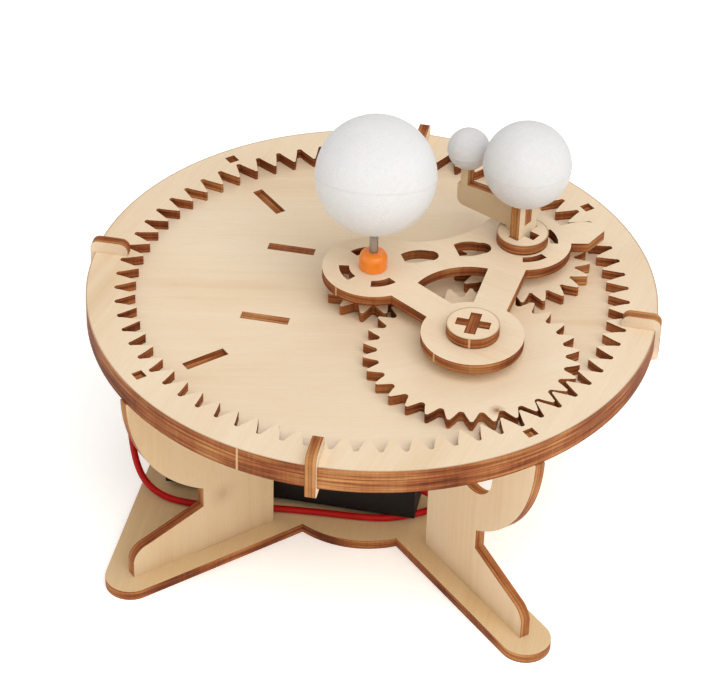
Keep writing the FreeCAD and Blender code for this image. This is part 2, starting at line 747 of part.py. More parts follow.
def make_battery_tray():
    """An open tray with a cell bay, a switch bay and a ridge between the cells."""
    body = new_body("battery_tray")
    sketch = new_sketch(body, offset=BOX_BOTTOM)
    add_rectangle(sketch, "sizes.boxCentre - sizes.boxLength / 2", "-sizes.boxWidth / 2",
                  "sizes.boxLength", "sizes.boxWidth")
    pad(body, sketch, "sizes.boxHeight")
    wall = size("boxWall")
    inside = "sizes.boxWidth - 2 * sizes.boxWall"
    for left, right in ((box_left + wall, bay_divider), (bay_divider + wall, box_right - wall)):
        bay = new_sketch(body, offset=f"{BOX_BOTTOM} + sizes.boxHeight")
        add_rectangle(bay, f"{left}", "-sizes.boxWidth / 2 + sizes.boxWall", f"{right - left}", inside)
        pocket = body.newObject("PartDesign::Pocket", "bay")
        pocket.Profile = bay
        pocket.setExpression("Length", "sizes.boxHeight - sizes.boxWall")
    boss_half = 2.1
    boss_left = lid_screw_x - boss_half
    boss = new_sketch(body, offset=f"{BOX_BOTTOM} + sizes.boxHeight - sizes.lidScrewDepth")
    add_rectangle(boss, f"{boss_left}", f"{-boss_half}",
                  f"{bay_divider - boss_left}", f"{2 * boss_half}")
    pad(body, boss, "sizes.lidScrewDepth")
    thread = new_sketch(body, offset=f"{BOX_BOTTOM} + sizes.boxHeight")
    add_circle(thread, "1.25", Vector(lid_screw_x, 0, 0))
    threaded = body.newObject("PartDesign::Pocket", "thread")
    threaded.Profile = thread
    threaded.setExpression("Length", "sizes.lidScrewDepth")
    ridge_start = box_left + wall + 14
    ridge_length = 24
    ridge = new_sketch(body, offset=f"{BOX_BOTTOM} + sizes.boxWall")
    add_rectangle(ridge, f"{ridge_start}", "-0.6", f"{ridge_length}", "1.2")
    pad(body, ridge, "3")
    entry = new_sketch(body, "YZ_Plane")
    add_circle(entry, "sizes.wireRadius + 0.1", Vector(WIRE_ROUTE[-1].y, WIRE_ROUTE[-1].z, 0))
    hole = body.newObject("PartDesign::Pocket", "wire_hole")
    hole.Profile = entry
    hole.SideType = "One side"
    hole.Reversed = True
    hole.Type = "Length"
    hole.Length = box_right + 1


def make_battery_lid():
    """The flat lid with a slot for the switch and a hole for its screw."""
    body = new_body("battery_lid")
    sketch = new_sketch(body, offset=f"{BOX_BOTTOM} + sizes.boxHeight")
    add_rectangle(sketch, "sizes.boxCentre - sizes.boxLength / 2", "-sizes.boxWidth / 2",
                  "sizes.boxLength", "sizes.boxWidth")
    pad(body, sketch, "sizes.boxWall + 0.1")
    slot_half_width = 2.2
    slot_half_length = 4.6
    slot = new_sketch(body)
    add_rectangle(slot, f"{switch_x - slot_half_width}", f"{-slot_half_length}",
                  f"{2 * slot_half_width}", f"{2 * slot_half_length}")
    cut_through(body, slot)
    screw_hole = new_sketch(body)
    add_circle(screw_hole, "1.3", Vector(lid_screw_x, 0, 0))
    cut_through(body, screw_hole)


def make_switch():
    """The slide switch: a housing under the lid and a slider through its slot."""
    housing_height = 5
    well_depth = 2.8
    well_play = 0.6
    slider_height = 5.6
    slider_depth = 2.4
    housing = new_body("switch_housing")
    sketch = new_sketch(housing, offset=f"{BOX_BOTTOM} + sizes.boxHeight - {housing_height}")
    add_rectangle(sketch, f"{switch_x} - sizes.switchWidth / 2", "-sizes.switchLength / 2",
                  "sizes.switchWidth", "sizes.switchLength")
    pad(housing, sketch, f"{housing_height}")
    well = new_sketch(housing, offset=f"{BOX_BOTTOM} + sizes.boxHeight")
    add_rectangle(well, f"{switch_x} - (sizes.sliderWidth + {well_play}) / 2",
                  "-sizes.sliderLength - 0.2",
                  f"sizes.sliderWidth + {well_play}", "2 * sizes.sliderLength + 0.4")
    pocket = housing.newObject("PartDesign::Pocket", "well")
    pocket.Profile = well
    pocket.Length = well_depth
    slider = new_body("switch_slider")
    base = new_sketch(slider, offset=f"{BOX_BOTTOM} + sizes.boxHeight - {slider_depth}")
    add_rectangle(base, f"{switch_x} - sizes.sliderWidth / 2", "-sizes.sliderLength",
                  "sizes.sliderWidth", "sizes.sliderLength")
    pad(slider, base, f"{slider_height}")


def make_cell(label, offset, nipple_x):
    """One battery cell along X, with its nipple starting at nipple_x."""
    can = doc.addObject("Part::Cylinder", label + "_can")
    can.setExpression("Radius", "sizes.cellRadius")
    can.setExpression("Height", "sizes.cellLength")
    can.Placement = FreeCAD.Placement(Vector(cell_start, offset, cell_height), ALONG_X)
    nipple = doc.addObject("Part::Cylinder", label + "_nipple")
    nipple.setExpression("Radius", "sizes.nippleRadius")
    nipple.setExpression("Height", "sizes.nippleHeight")
    nipple.Placement = FreeCAD.Placement(Vector(nipple_x, offset, cell_height), ALONG_X)
    cell = doc.addObject("Part::Fuse", label)
    cell.Label = label
    cell.Base = can
    cell.Tool = nipple


def make_contacts():
    """Sheet-metal contacts: a plate at each cell end, and a spring's envelope at each flat end."""
    thick = 0.4
    gap = 0.05
    plate_width = 9
    plate_height = 12
    wide_end = 4.2
    narrow_end = 2.4
    left = box_left + size("boxWall") + gap
    right = bay_divider - gap - thick
    low = box_bottom + size("boxWall") + 1
    plates = []
    for x in (left, right):
        for y in (-cell_offset, cell_offset):
            corner = Vector(x, y - plate_width / 2, low)
            plates.append(Part.makeBox(thick, plate_width, plate_height, corner))
    plate_feature = doc.addObject("Part::Feature", "contact_plates")
    plate_feature.Label = "contact_plates"
    plate_feature.Shape = Part.makeCompound(plates)
    cell_end = cell_start + size("cellLength")
    along = Vector(1, 0, 0)
    left_base = Vector(left + thick + gap, -cell_offset, cell_height)
    right_base = Vector(cell_end + gap, cell_offset, cell_height)
    springs = [
        Part.makeCone(wide_end, narrow_end, cell_start - gap - left_base.x, left_base, along),
        Part.makeCone(narrow_end, wide_end, right - gap - right_base.x, right_base, along),
    ]
    spring_feature = doc.addObject("Part::Feature", "contact_springs")
    spring_feature.Label = "contact_springs"
    spring_feature.Shape = Part.makeCompound(springs)


def make_lid_screw():
    """The small screw that holds the lid, in the middle between the bays."""
    body = new_body("lid_screw", place=Vector(lid_screw_x, 0, box_top))
    low = -size("lidScrewDepth")
    top = size("boxWall") + 0.1
    shank = 1.2
    head = 2.3
    steps = [
        Vector(shank, low, 0),
        Vector(shank, top, 0),
        Vector(head, top, 0),
        (Vector(0.7 * head, top + 0.7, 0), Vector(0, top + 1.0, 0)),
        Vector(0, low, 0),
    ]
    sketch = new_sketch(body, "XZ_Plane")
    add_outline(sketch, Vector(0, low, 0), steps)
    revolve(body, sketch)
    slot = new_sketch(body, offset=f"{top + 1.1}")
    slot_width = 0.7
    add_rectangle(slot, f"{-head - 0.1}", f"{-slot_width / 2}", f"{2 * head + 0.2}", f"{slot_width}")
    pocket = body.newObject("PartDesign::Pocket", "driver_slot")
    pocket.Profile = slot
    pocket.Length = 0.6


# ---------------------------------------------------------------- red wire

def wire_path(points):
    """Straight runs joined by tangent arcs, each as large as its two runs allow."""
    edges = []
    here = points[0]
    smallest = None
    for before, corner, after in zip(points, points[1:], points[2:]):
        incoming = (corner - before).normalize()
        outgoing = (after - corner).normalize()
        turn = incoming.getAngle(outgoing)
        setback = 0.45 * min((corner - before).Length, (after - corner).Length)
        radius = setback / math.tan(turn / 2)
        smallest = radius if smallest is None else min(smallest, radius)
        print("wire arc radius", round(radius, 1))
        arc_start = corner - incoming * setback
        arc_end = corner + outgoing * setback
        inward = (outgoing - incoming).normalize()
        arc_middle = corner + inward * (radius / math.cos(turn / 2) - radius)
        edges.append(Part.LineSegment(here, arc_start).toShape())
        edges.append(Part.Arc(arc_start, arc_middle, arc_end).toShape())
        here = arc_end
    edges.append(Part.LineSegment(here, points[-1]).toShape())
    print("smallest wire radius", round(smallest, 1))
    return Part.Wire(edges)


def make_red_wire():
    """The loose insulated wire as one tube."""
    path = wire_path(WIRE_ROUTE)
    heading = WIRE_ROUTE[1] - WIRE_ROUTE[0]
    profile = Part.Wire(Part.makeCircle(size("wireRadius"), WIRE_ROUTE[0], heading))
    tube = path.makePipeShell([profile], True, False)
    print("wire length", round(path.Length, 1), "volume ratio",
          round(tube.Volume / (math.pi * size("wireRadius") ** 2 * path.Length), 4))
    feature = doc.addObject("Part::Feature", "red_wire")
    feature.Label = "red_wire"
    feature.Shape = tube


# ---------------------------------------------------------------- sun spindle

def make_sun_spindle():
    """Shaft, pinion, spacer, orange bushing and the sun ball, which turn as one."""
    shaft = new_body("sun_shaft")
    shaft_start = "(sizes.deckUnderside - sizes.gearboxHeight + 1)"
    shaft_end = "(sizes.sunBallHeight - 8)"
    sketch = new_sketch(shaft, offset=shaft_start)
    add_circle(sketch, "sizes.shaftRadius")
    pad(shaft, sketch, f"{shaft_end} - {shaft_start}")
    plain_gear("sun_pinion", SUN_SHAPE, "sunTeeth", sun_space, ORIGIN, 0, bore="sizes.shaftRadius")
    flat_disc("hub_spacer", "sizes.washerRadius", SPACER_BOTTOM, bore="sizes.shaftRadius")
    bushing = new_body("orange_bushing")
    low = arm_top + 0.2
    high = low + size("bushingHeight")
    outer = size("bushingRadius")
    bore = size("shaftRadius")
    round_off = 2.0
    bevel = round_off * (1 - math.sqrt(0.5))
    steps = [
        Vector(outer, low, 0),
        Vector(outer, high - round_off, 0),
        (Vector(outer - bevel, high - bevel, 0), Vector(outer - round_off, high, 0)),
        Vector(bore, high, 0),
        Vector(bore, low, 0),
    ]
    profile = new_sketch(bushing, "XZ_Plane")
    add_outline(profile, Vector(bore, low, 0), steps)
    revolve(bushing, profile)
    ball = make_ball("sun_ball", "sunBallRadius", "sunBallHeight", ORIGIN, 0)
    hole = new_sketch(ball, offset=shaft_end)
    add_circle(hole, "sizes.shaftRadius")
    socket = ball.newObject("PartDesign::Pocket", "socket")
    socket.Profile = hole
    socket.setExpression("Length", "sizes.sunBallRadius")


def make_ball(label, radius_alias, height_alias, place, turn):
    """A foam ball as a half circle turned about its own axis."""
    body = new_body(label, place, turn)
    radius = size(radius_alias)
    height = size(height_alias)
    sketch = new_sketch(body, "XZ_Plane")
    top = Vector(0, height + radius, 0)
    bottom = Vector(0, height - radius, 0)
    add_outline(sketch, bottom, [(Vector(radius, height, 0), top), bottom])
    revolve(body, sketch)
    return body


# ---------------------------------------------------------------- carrier arm

def add_arc_slot(body, centre, inner, outer, start, end):
    """A slot along a circle round the centre, from one direction to another."""
    middle = (start + end) / 2
    first = polar(inner, start, centre)
    steps = [
        polar(outer, start, centre),
        (polar(outer, middle, centre), polar(outer, end, centre)),
        polar(inner, end, centre),
        (polar(inner, middle, centre), first),
    ]
    sketch = new_sketch(body)
    add_outline(sketch, first, steps)
    cut_through(body, sketch)


# The two rounded slots in the arm's upper bar, each as five places round its edge.
ARM_SLOTS = [
    ((6.4, 7.6), (8.3, 4.2), (14.7, 6.6), (14.0, 11.1), (16.9, 9.3)),
    ((20.0, 15.6), (22.6, 10.6), (28.9, 13.4), (26.9, 18.2), (30.6, 16.6)),
]


def make_carrier_arm():
    """The arm: three round ends joined by bars round a window, and a pointer at the earth."""
    body = new_body("carrier_arm")
    sun = size("armSunRadius")
    planet = size("armPlanetRadius")
    earth = size("armEarthRadius")
    lower_start = polar(sun, -58)
    lower_end = polar(planet, 162, PLANET_AXIS)
    right_start = polar(planet, 58.5, PLANET_AXIS)
    right_end = polar(earth, -76.5, EARTH_AXIS)
    pointer_low = polar(earth, 8.5, EARTH_AXIS)
    pointer_corner = Vector(57.1, 25.0, 0)
    pointer_tip = Vector(60.4, 32.6, 0)
    pointer_top = Vector(56.0, 35.6, 0)
    pointer_back = polar(earth, 46, EARTH_AXIS)
    upper_end = polar(earth, 141, EARTH_AXIS)
    upper_start = polar(sun, 76)
    steps = [
        lower_end,
        (polar(planet, -69.75, PLANET_AXIS), right_start),
        right_end,
        (polar(earth, -34, EARTH_AXIS), pointer_low),
        pointer_corner,
        Vector(60.2, 31.4, 0),
        (pointer_tip + Vector(-0.1, 0.9, 0), Vector(59.2, 34.2, 0)),
        pointer_top,
        (Vector(51.6, 34.3, 0), pointer_back),
        (polar(earth, 93.5, EARTH_AXIS), upper_end),
        (Vector(17.2, 17.8, 0), upper_start),
        (polar(sun, 189), lower_start),
    ]
    sketch = new_sketch(body, offset="sizes.armUnderside")
    add_outline(sketch, lower_start, steps)
    pad(body, sketch, "sizes.ply")

    window = new_sketch(body)
    window_left = Vector(13.5, -4.6, 0)
    steps = [
        polar(planet, 123.5, PLANET_AXIS),
        (polar(planet, 111, PLANET_AXIS), polar(planet, 98.5, PLANET_AXIS)),
        Vector(31.4, 6.6, 0),
        (Vector(20.8, 4.0, 0), window_left),
    ]
    add_outline(window, window_left, steps)
    cut_through(body, window)

    for start, end, inner, outer, bow in ARM_SLOTS:
        slot = new_sketch(body)
        first = Vector(*start, 0)
        low_middle = (Vector(*end, 0) + Vector(*inner, 0)) * 0.5 + Vector(0.3, -0.5, 0)
        high_middle = (first + Vector(*outer, 0)) * 0.5 + Vector(-0.5, 0.9, 0)
        steps = [
            Vector(*end, 0),
            (low_middle, Vector(*inner, 0)),
            (Vector(*bow, 0), Vector(*outer, 0)),
            (high_middle, first),
        ]
        add_outline(slot, first, steps)
        cut_through(body, slot)
    for middle in (120, 212, 300):
        add_arc_slot(body, ORIGIN, 6.7, 9.5, middle - 23, middle + 23)
    for middle in (-59, 27, 117):
        add_arc_slot(body, EARTH_AXIS, 7.9, 10.2, middle - 21, middle + 21)
    holes = new_sketch(body)
    add_circle(holes, "sizes.shaftRadius + sizes.slip")
    add_circle(holes, "sizes.pivotRadius", PLANET_AXIS)
    add_circle(holes, "sizes.pivotRadius", EARTH_AXIS)
    cut_through(body, holes)


# ---------------------------------------------------------------- big gear and earth set

AXLE_HALF = size("axleWidth") / 2
FULL_CROSS = [("x", -AXLE_HALF, AXLE_HALF), ("y", -AXLE_HALF, AXLE_HALF)]
axle_low = gear_bottom + 0.1
axle_high = washer_top - 0.8


def small_disc(label, bottom, place, turn):
    """A washer or spacer of the crossed axles."""
    return flat_disc(label, "sizes.washerRadius", bottom, None, place, turn)


def upright_plate(label, place, turn, role, start, steps):
    """A plate that stands on edge: its outline is drawn on an origin plane."""
    body = new_body(label, place, turn)
    sketch = new_sketch(body, role)
    add_outline(sketch, start, steps)
    pad(body, sketch, "sizes.ply", "Symmetric")
    return body


def slotted_strip(label, role, slot_end, slot_opens_up):
    """A strip of the big gear's axle, with a halving slot open at its top or its bottom."""
    half = AXLE_HALF
    notch = ply / 2 + slip
    open_end = axle_high if slot_opens_up else axle_low
    closed_end = axle_low if slot_opens_up else axle_high
    start = Vector(-half, closed_end, 0)
    steps = [
        Vector(half, closed_end, 0),
        Vector(half, open_end, 0),
        Vector(notch, open_end, 0),
        Vector(notch, slot_end, 0),
        Vector(-notch, slot_end, 0),
        Vector(-notch, open_end, 0),
        Vector(-half, open_end, 0),
        start,
    ]
    return upright_plate(label, PLANET_AXIS, CROSS_TURN, role, start, steps)


def make_planet_set():
    """The big gear, its spacer and washer, and the two crossed strips that join them."""
    gear = plain_gear("planet_gear", PLANET_SHAPE, "planetTeeth", planet_tooth + planet_pitch / 2,
                      PLANET_AXIS, CROSS_TURN)
    spacer = small_disc("planet_spacer", SPACER_BOTTOM, PLANET_AXIS, CROSS_TURN)
    washer = small_disc("planet_washer", WASHER_BOTTOM, PLANET_AXIS, CROSS_TURN)
    for body in (gear, spacer, washer):
        cut_cross(body, FULL_CROSS)
    split = (axle_low + axle_high) / 2
    slotted_strip("planet_axle_strip_a", "XZ_Plane", split - slip, slot_opens_up=True)
    slotted_strip("planet_axle_strip_b", "YZ_Plane", split + slip, slot_opens_up=False)


def make_earth_set():
    """The earth gear, spacer and washer, the plate under the earth, and the moon's arm."""
    turn = size("moonAzimuth")
    gear = plain_gear("earth_gear", EARTH_SHAPE, "earthTeeth", earth_space, EARTH_AXIS, turn)
    spacer = small_disc("earth_spacer", SPACER_BOTTOM, EARTH_AXIS, turn)
    washer = small_disc("earth_washer", WASHER_BOTTOM, EARTH_AXIS, turn)
    for body in (gear, spacer, washer):
        cut_cross(body, FULL_CROSS)
    ball_bottom = size("earthBallHeight") - size("earthBallRadius")
    foot_top = washer_top - 0.3
    shoulder = washer_top + 0.8
    joint = shoulder + 2.6
    prong_top = ball_bottom + 3
    narrow = 4.15
    notch = ply / 2 + slip
    start = Vector(-AXLE_HALF, axle_low, 0)
    steps = [
        Vector(AXLE_HALF, axle_low, 0),
        Vector(AXLE_HALF, foot_top, 0),
        Vector(narrow, foot_top, 0),
        Vector(narrow, prong_top, 0),
        Vector(notch, prong_top, 0),
        Vector(notch, joint, 0),
        Vector(-notch, joint, 0),
        Vector(-notch, prong_top, 0),
        Vector(-narrow, prong_top, 0),
        Vector(-narrow, foot_top, 0),
        Vector(-AXLE_HALF, foot_top, 0),
        start,
    ]
    upright_plate("earth_axle_plate", EARTH_AXIS, turn, "YZ_Plane", start, steps)

    arm_low = shoulder
    arm_end = 22.3
    post = size("moonDistance")
    post_half = 1.25
    post_top = size("moonBallHeight") - size("moonBallRadius") + 2.5
    start = Vector(notch, axle_low, 0)
    steps = [
        Vector(AXLE_HALF, axle_low, 0),
        Vector(AXLE_HALF, arm_low, 0),
        Vector(arm_end - 2.4, arm_low, 0),
        (Vector(arm_end - 0.6, arm_low + 0.7, 0), Vector(arm_end, arm_low + 2.2, 0)),
        Vector(arm_end, arm_low + 6.2, 0),
        (Vector(arm_end - 0.2, arm_low + 6.9, 0), Vector(arm_end - 0.6, arm_low + 7.1, 0)),
        Vector(post + post_half, arm_low + 7.1, 0),
        Vector(post + post_half, post_top, 0),
        Vector(post - post_half, post_top, 0),
        Vector(post - post_half, arm_low + 7.3, 0),
        Vector(8.0, ball_bottom - 0.8, 0),
        Vector(-notch + 0.1, ball_bottom - 0.8, 0),
        Vector(-notch + 0.1, joint + slip, 0),
        Vector(notch, joint + slip, 0),
        start,
    ]
    upright_plate("moon_arm", EARTH_AXIS, turn, "XZ_Plane", start, steps)

    earth_ball = make_ball("earth_ball", "earthBallRadius", "earthBallHeight", EARTH_AXIS, turn)
    cut_spike_socket(earth_ball, ply, 2 * narrow, ball_bottom, prong_top)
    moon_place = polar(post, turn, EARTH_AXIS)
    moon_ball = make_ball("moon_ball", "moonBallRadius", "moonBallHeight", moon_place, turn)
    moon_bottom = size("moonBallHeight") - size("moonBallRadius")
    cut_spike_socket(moon_ball, 2 * post_half, ply, moon_bottom, post_top)


def cut_spike_socket(ball, width, depth, bottom, top):
    """The slot that a plate's end leaves in the underside of a foam ball."""
    sketch = new_sketch(ball, offset=f"{top} + sizes.slip")
    add_rectangle(sketch, f"{-width / 2} - sizes.slip", f"{-depth / 2} - sizes.slip",
                  f"{width} + 2 * sizes.slip", f"{depth} + 2 * sizes.slip")
    pocket = ball.newObject("PartDesign::Pocket", "socket")
    pocket.Profile = sketch
    pocket.Length = top - bottom + 2


# ---------------------------------------------------------------- build

make_base_plate()
for name, azimuth in (("upright_back_right", 45), ("upright_back_left", 135),
                      ("upright_front_left", 225), ("upright_front_right", 315)):
    make_upright(name, azimuth)
make_base_disc()
make_ring_gear()
for name, azimuth in (("clip_right", 0), ("clip_back", 90), ("clip_left", 180), ("clip_front", 270)):
    make_clip(name, azimuth)
make_motor_rail("motor_rail_front", -1)
make_motor_rail("motor_rail_back", 1)
make_motor_shelf()
make_gearbox_half("gearbox_upper", "sizes.deckUnderside - sizes.gearboxHeight / 2", True)
make_gearbox_half("gearbox_lower", "sizes.deckUnderside - sizes.gearboxHeight", False)
make_gearbox_screws()
make_motor_can()
make_motor_cap()
make_foam_pad()
make_battery_tray()
make_battery_lid()
make_switch()
make_cell("cell_front", -cell_offset, cell_start + size("cellLength"))
make_cell("cell_back", cell_offset, cell_start - 1.2)
make_contacts()
make_lid_screw()
make_red_wire()
make_sun_spindle()
make_carrier_arm()
make_planet_set()
make_earth_set()
doc.recompute()

# ---------------------------------------------------------------- checks and export

for item in doc.Objects:
    if "Invalid" in item.State or "Error" in item.State:
        raise RuntimeError(f"{item.Name} did not build: {item.State}")

SUB_PART_TYPES = ("PartDesign::Body", "Part::Feature", "Part::MultiFuse", "Part::Fuse")
nodes = [item for item in doc.Objects if item.TypeId in SUB_PART_TYPES]
for item in nodes:
    shape = item.Shape
    if shape.isNull() or not shape.isValid() or not shape.Solids:
        raise RuntimeError(f"{item.Label} has no valid solid")
os.makedirs("parts", exist_ok=True)
for item in nodes:
    item.Shape.exportStep(f"parts/{item.Label}.step")
print(len(nodes), "nodes written")
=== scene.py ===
import math
import random

import bmesh
import bpy
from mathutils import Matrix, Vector


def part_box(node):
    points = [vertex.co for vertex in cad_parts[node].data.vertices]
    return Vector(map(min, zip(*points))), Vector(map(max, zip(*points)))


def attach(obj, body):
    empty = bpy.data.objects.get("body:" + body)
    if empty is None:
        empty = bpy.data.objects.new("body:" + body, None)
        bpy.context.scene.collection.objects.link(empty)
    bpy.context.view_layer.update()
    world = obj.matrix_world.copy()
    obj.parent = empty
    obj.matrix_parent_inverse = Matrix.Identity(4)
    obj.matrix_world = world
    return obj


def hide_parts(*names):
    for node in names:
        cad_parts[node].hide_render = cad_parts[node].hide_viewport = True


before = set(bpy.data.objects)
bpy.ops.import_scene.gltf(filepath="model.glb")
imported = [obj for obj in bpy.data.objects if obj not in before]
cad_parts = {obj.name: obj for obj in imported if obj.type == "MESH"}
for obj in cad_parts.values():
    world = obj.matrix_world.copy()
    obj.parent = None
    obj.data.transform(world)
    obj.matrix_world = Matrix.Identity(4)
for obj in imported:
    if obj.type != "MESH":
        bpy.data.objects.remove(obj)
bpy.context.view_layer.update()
MM = 0.001


# ---------------------------------------------------------------- camera and stage

scene = bpy.context.scene
camera_data = bpy.data.cameras.new("camera")
camera_data.sensor_fit = "HORIZONTAL"
camera_data.sensor_width = 36.0
camera_data.lens = 145.793
camera_data.clip_start = 0.05
camera_data.clip_end = 20.0
camera = bpy.data.objects.new("camera", camera_data)
camera.location = (0.116998, -0.646559, 0.558268)
camera.rotation_euler = (0.912952, -0.0241683, 0.2021408)
scene.collection.objects.link(camera)
scene.camera = camera
scene.view_settings.view_transform = "Standard"


# ---------------------------------------------------------------- node helpers

class Nodes:
    """Short ways to add and join shader nodes in one material."""

    def __init__(self, name):
        self.material = bpy.data.materials.new(name)
        self.material.use_nodes = True
        self.tree = self.material.node_tree
        self.shader = self.tree.nodes["Principled BSDF"]
        self.object_space = self.add("ShaderNodeTexCoord")

    def add(self, kind, inputs=None, **settings):
        node = self.tree.nodes.new(kind)
        for key, value in settings.items():
            setattr(node, key, value)
        for key, value in (inputs or {}).items():
            self.put(node.inputs[key], value)
        return node

    def put(self, socket, value):
        if isinstance(value, bpy.types.NodeSocket):
            self.tree.links.new(value, socket)
        else:
            socket.default_value = value

    def math(self, operation, first, second=0.0, third=0.0):
        node = self.add("ShaderNodeMath", {0: first, 1: second, 2: third}, operation=operation)
        return node.outputs[0]

    def ramp(self, value, stops):
        node = self.add("ShaderNodeValToRGB", {0: value})
        node.color_ramp.interpolation = "LINEAR"
        elements = node.color_ramp.elements
        while len(elements) < len(stops):
            elements.new(0.5)
        for element, (place, colour) in zip(elements, stops):
            element.position = place
            element.color = colour if len(colour) == 4 else (*colour, 1.0)
        return node.outputs[0]

    def mix(self, factor, first, second):
        node = self.add("ShaderNodeMix", data_type="RGBA", blend_type="MIX")
        self.put(node.inputs[0], factor)
        self.put(node.inputs[6], first)
        self.put(node.inputs[7], second)
        return node.outputs[2]

    def noise(self, vector, scale, detail=3.0, roughness=0.5):
        node = self.add("ShaderNodeTexNoise", {"Vector": vector, "Scale": scale, "Detail": detail,
                                               "Roughness": roughness})
        return node.outputs[0]

    def mapped(self, vector, scale=(1, 1, 1), turn=(0, 0, 0)):
        node = self.add("ShaderNodeMapping", {"Vector": vector, "Rotation": turn, "Scale": scale})
        return node.outputs[0]

    def bump(self, height, strength, distance):
        node = self.add("ShaderNodeBump", {"Height": height, "Strength": strength, "Distance": distance})
        return node.outputs[0]

    def away_from(self, vector, point):
        node = self.add("ShaderNodeVectorMath", {0: vector, 1: point}, operation="SUBTRACT")
        return node.outputs[0]

    def length(self, vector):
        node = self.add("ShaderNodeVectorMath", {0: vector}, operation="LENGTH")
        return node.outputs["Value"]

    def level_distance(self, vector, x, y):
        """The distance from an upright line through (x, y)."""
        return self.length(self.mapped(self.away_from(vector, (x, y, 0)), scale=(1, 1, 0)))

    def finish(self, colour, roughness, normal=None, **fixed):
        self.put(self.shader.inputs["Base Color"], colour)
        self.put(self.shader.inputs["Roughness"], roughness)
        if normal is not None:
            self.put(self.shader.inputs["Normal"], normal)
        for key, value in fixed.items():
            self.shader.inputs[key.replace("_", " ")].default_value = value
        return self.material


def srgb(red, green, blue):
    """A linear colour with alpha from 8-bit sRGB values."""
    def linear(value):
        part = value / 255
        return part / 12.92 if part <= 0.04045 else ((part + 0.055) / 1.055) ** 2.4
    return (linear(red), linear(green), linear(blue), 1.0)


# ---------------------------------------------------------------- plywood

FACE_LIGHT = srgb(237, 218, 191)
FACE_MIDDLE = srgb(232, 209, 178)
FACE_DARK = srgb(216, 185, 146)
EDGE_CHAR = srgb(54, 25, 13)
EDGE_DARK = srgb(108, 53, 28)
EDGE_BROWN = srgb(158, 89, 48)
EDGE_HONEY = srgb(200, 142, 86)
BRIDGE_PALE = srgb(226, 186, 142)
KNOT_BROWN = srgb(140, 88, 50)
RIM_BROWN = srgb(150, 112, 80)
SHEET_MM = 3.0
DISC_MM = 4.2
RIM_WIDTH = 1.0 * MM
BRIDGE_HALF_WIDTH = 0.5 * MM
BLACK = (0, 0, 0)
WHITE = (1, 1, 1)


def grey(level):
    """A neutral colour for a mask."""
    return (level, level, level)


def tinted(colour, tint):
    """A linear colour multiplied by a tint, with its alpha kept."""
    return (*(part * factor for part, factor in zip(colour, tint)), 1.0)


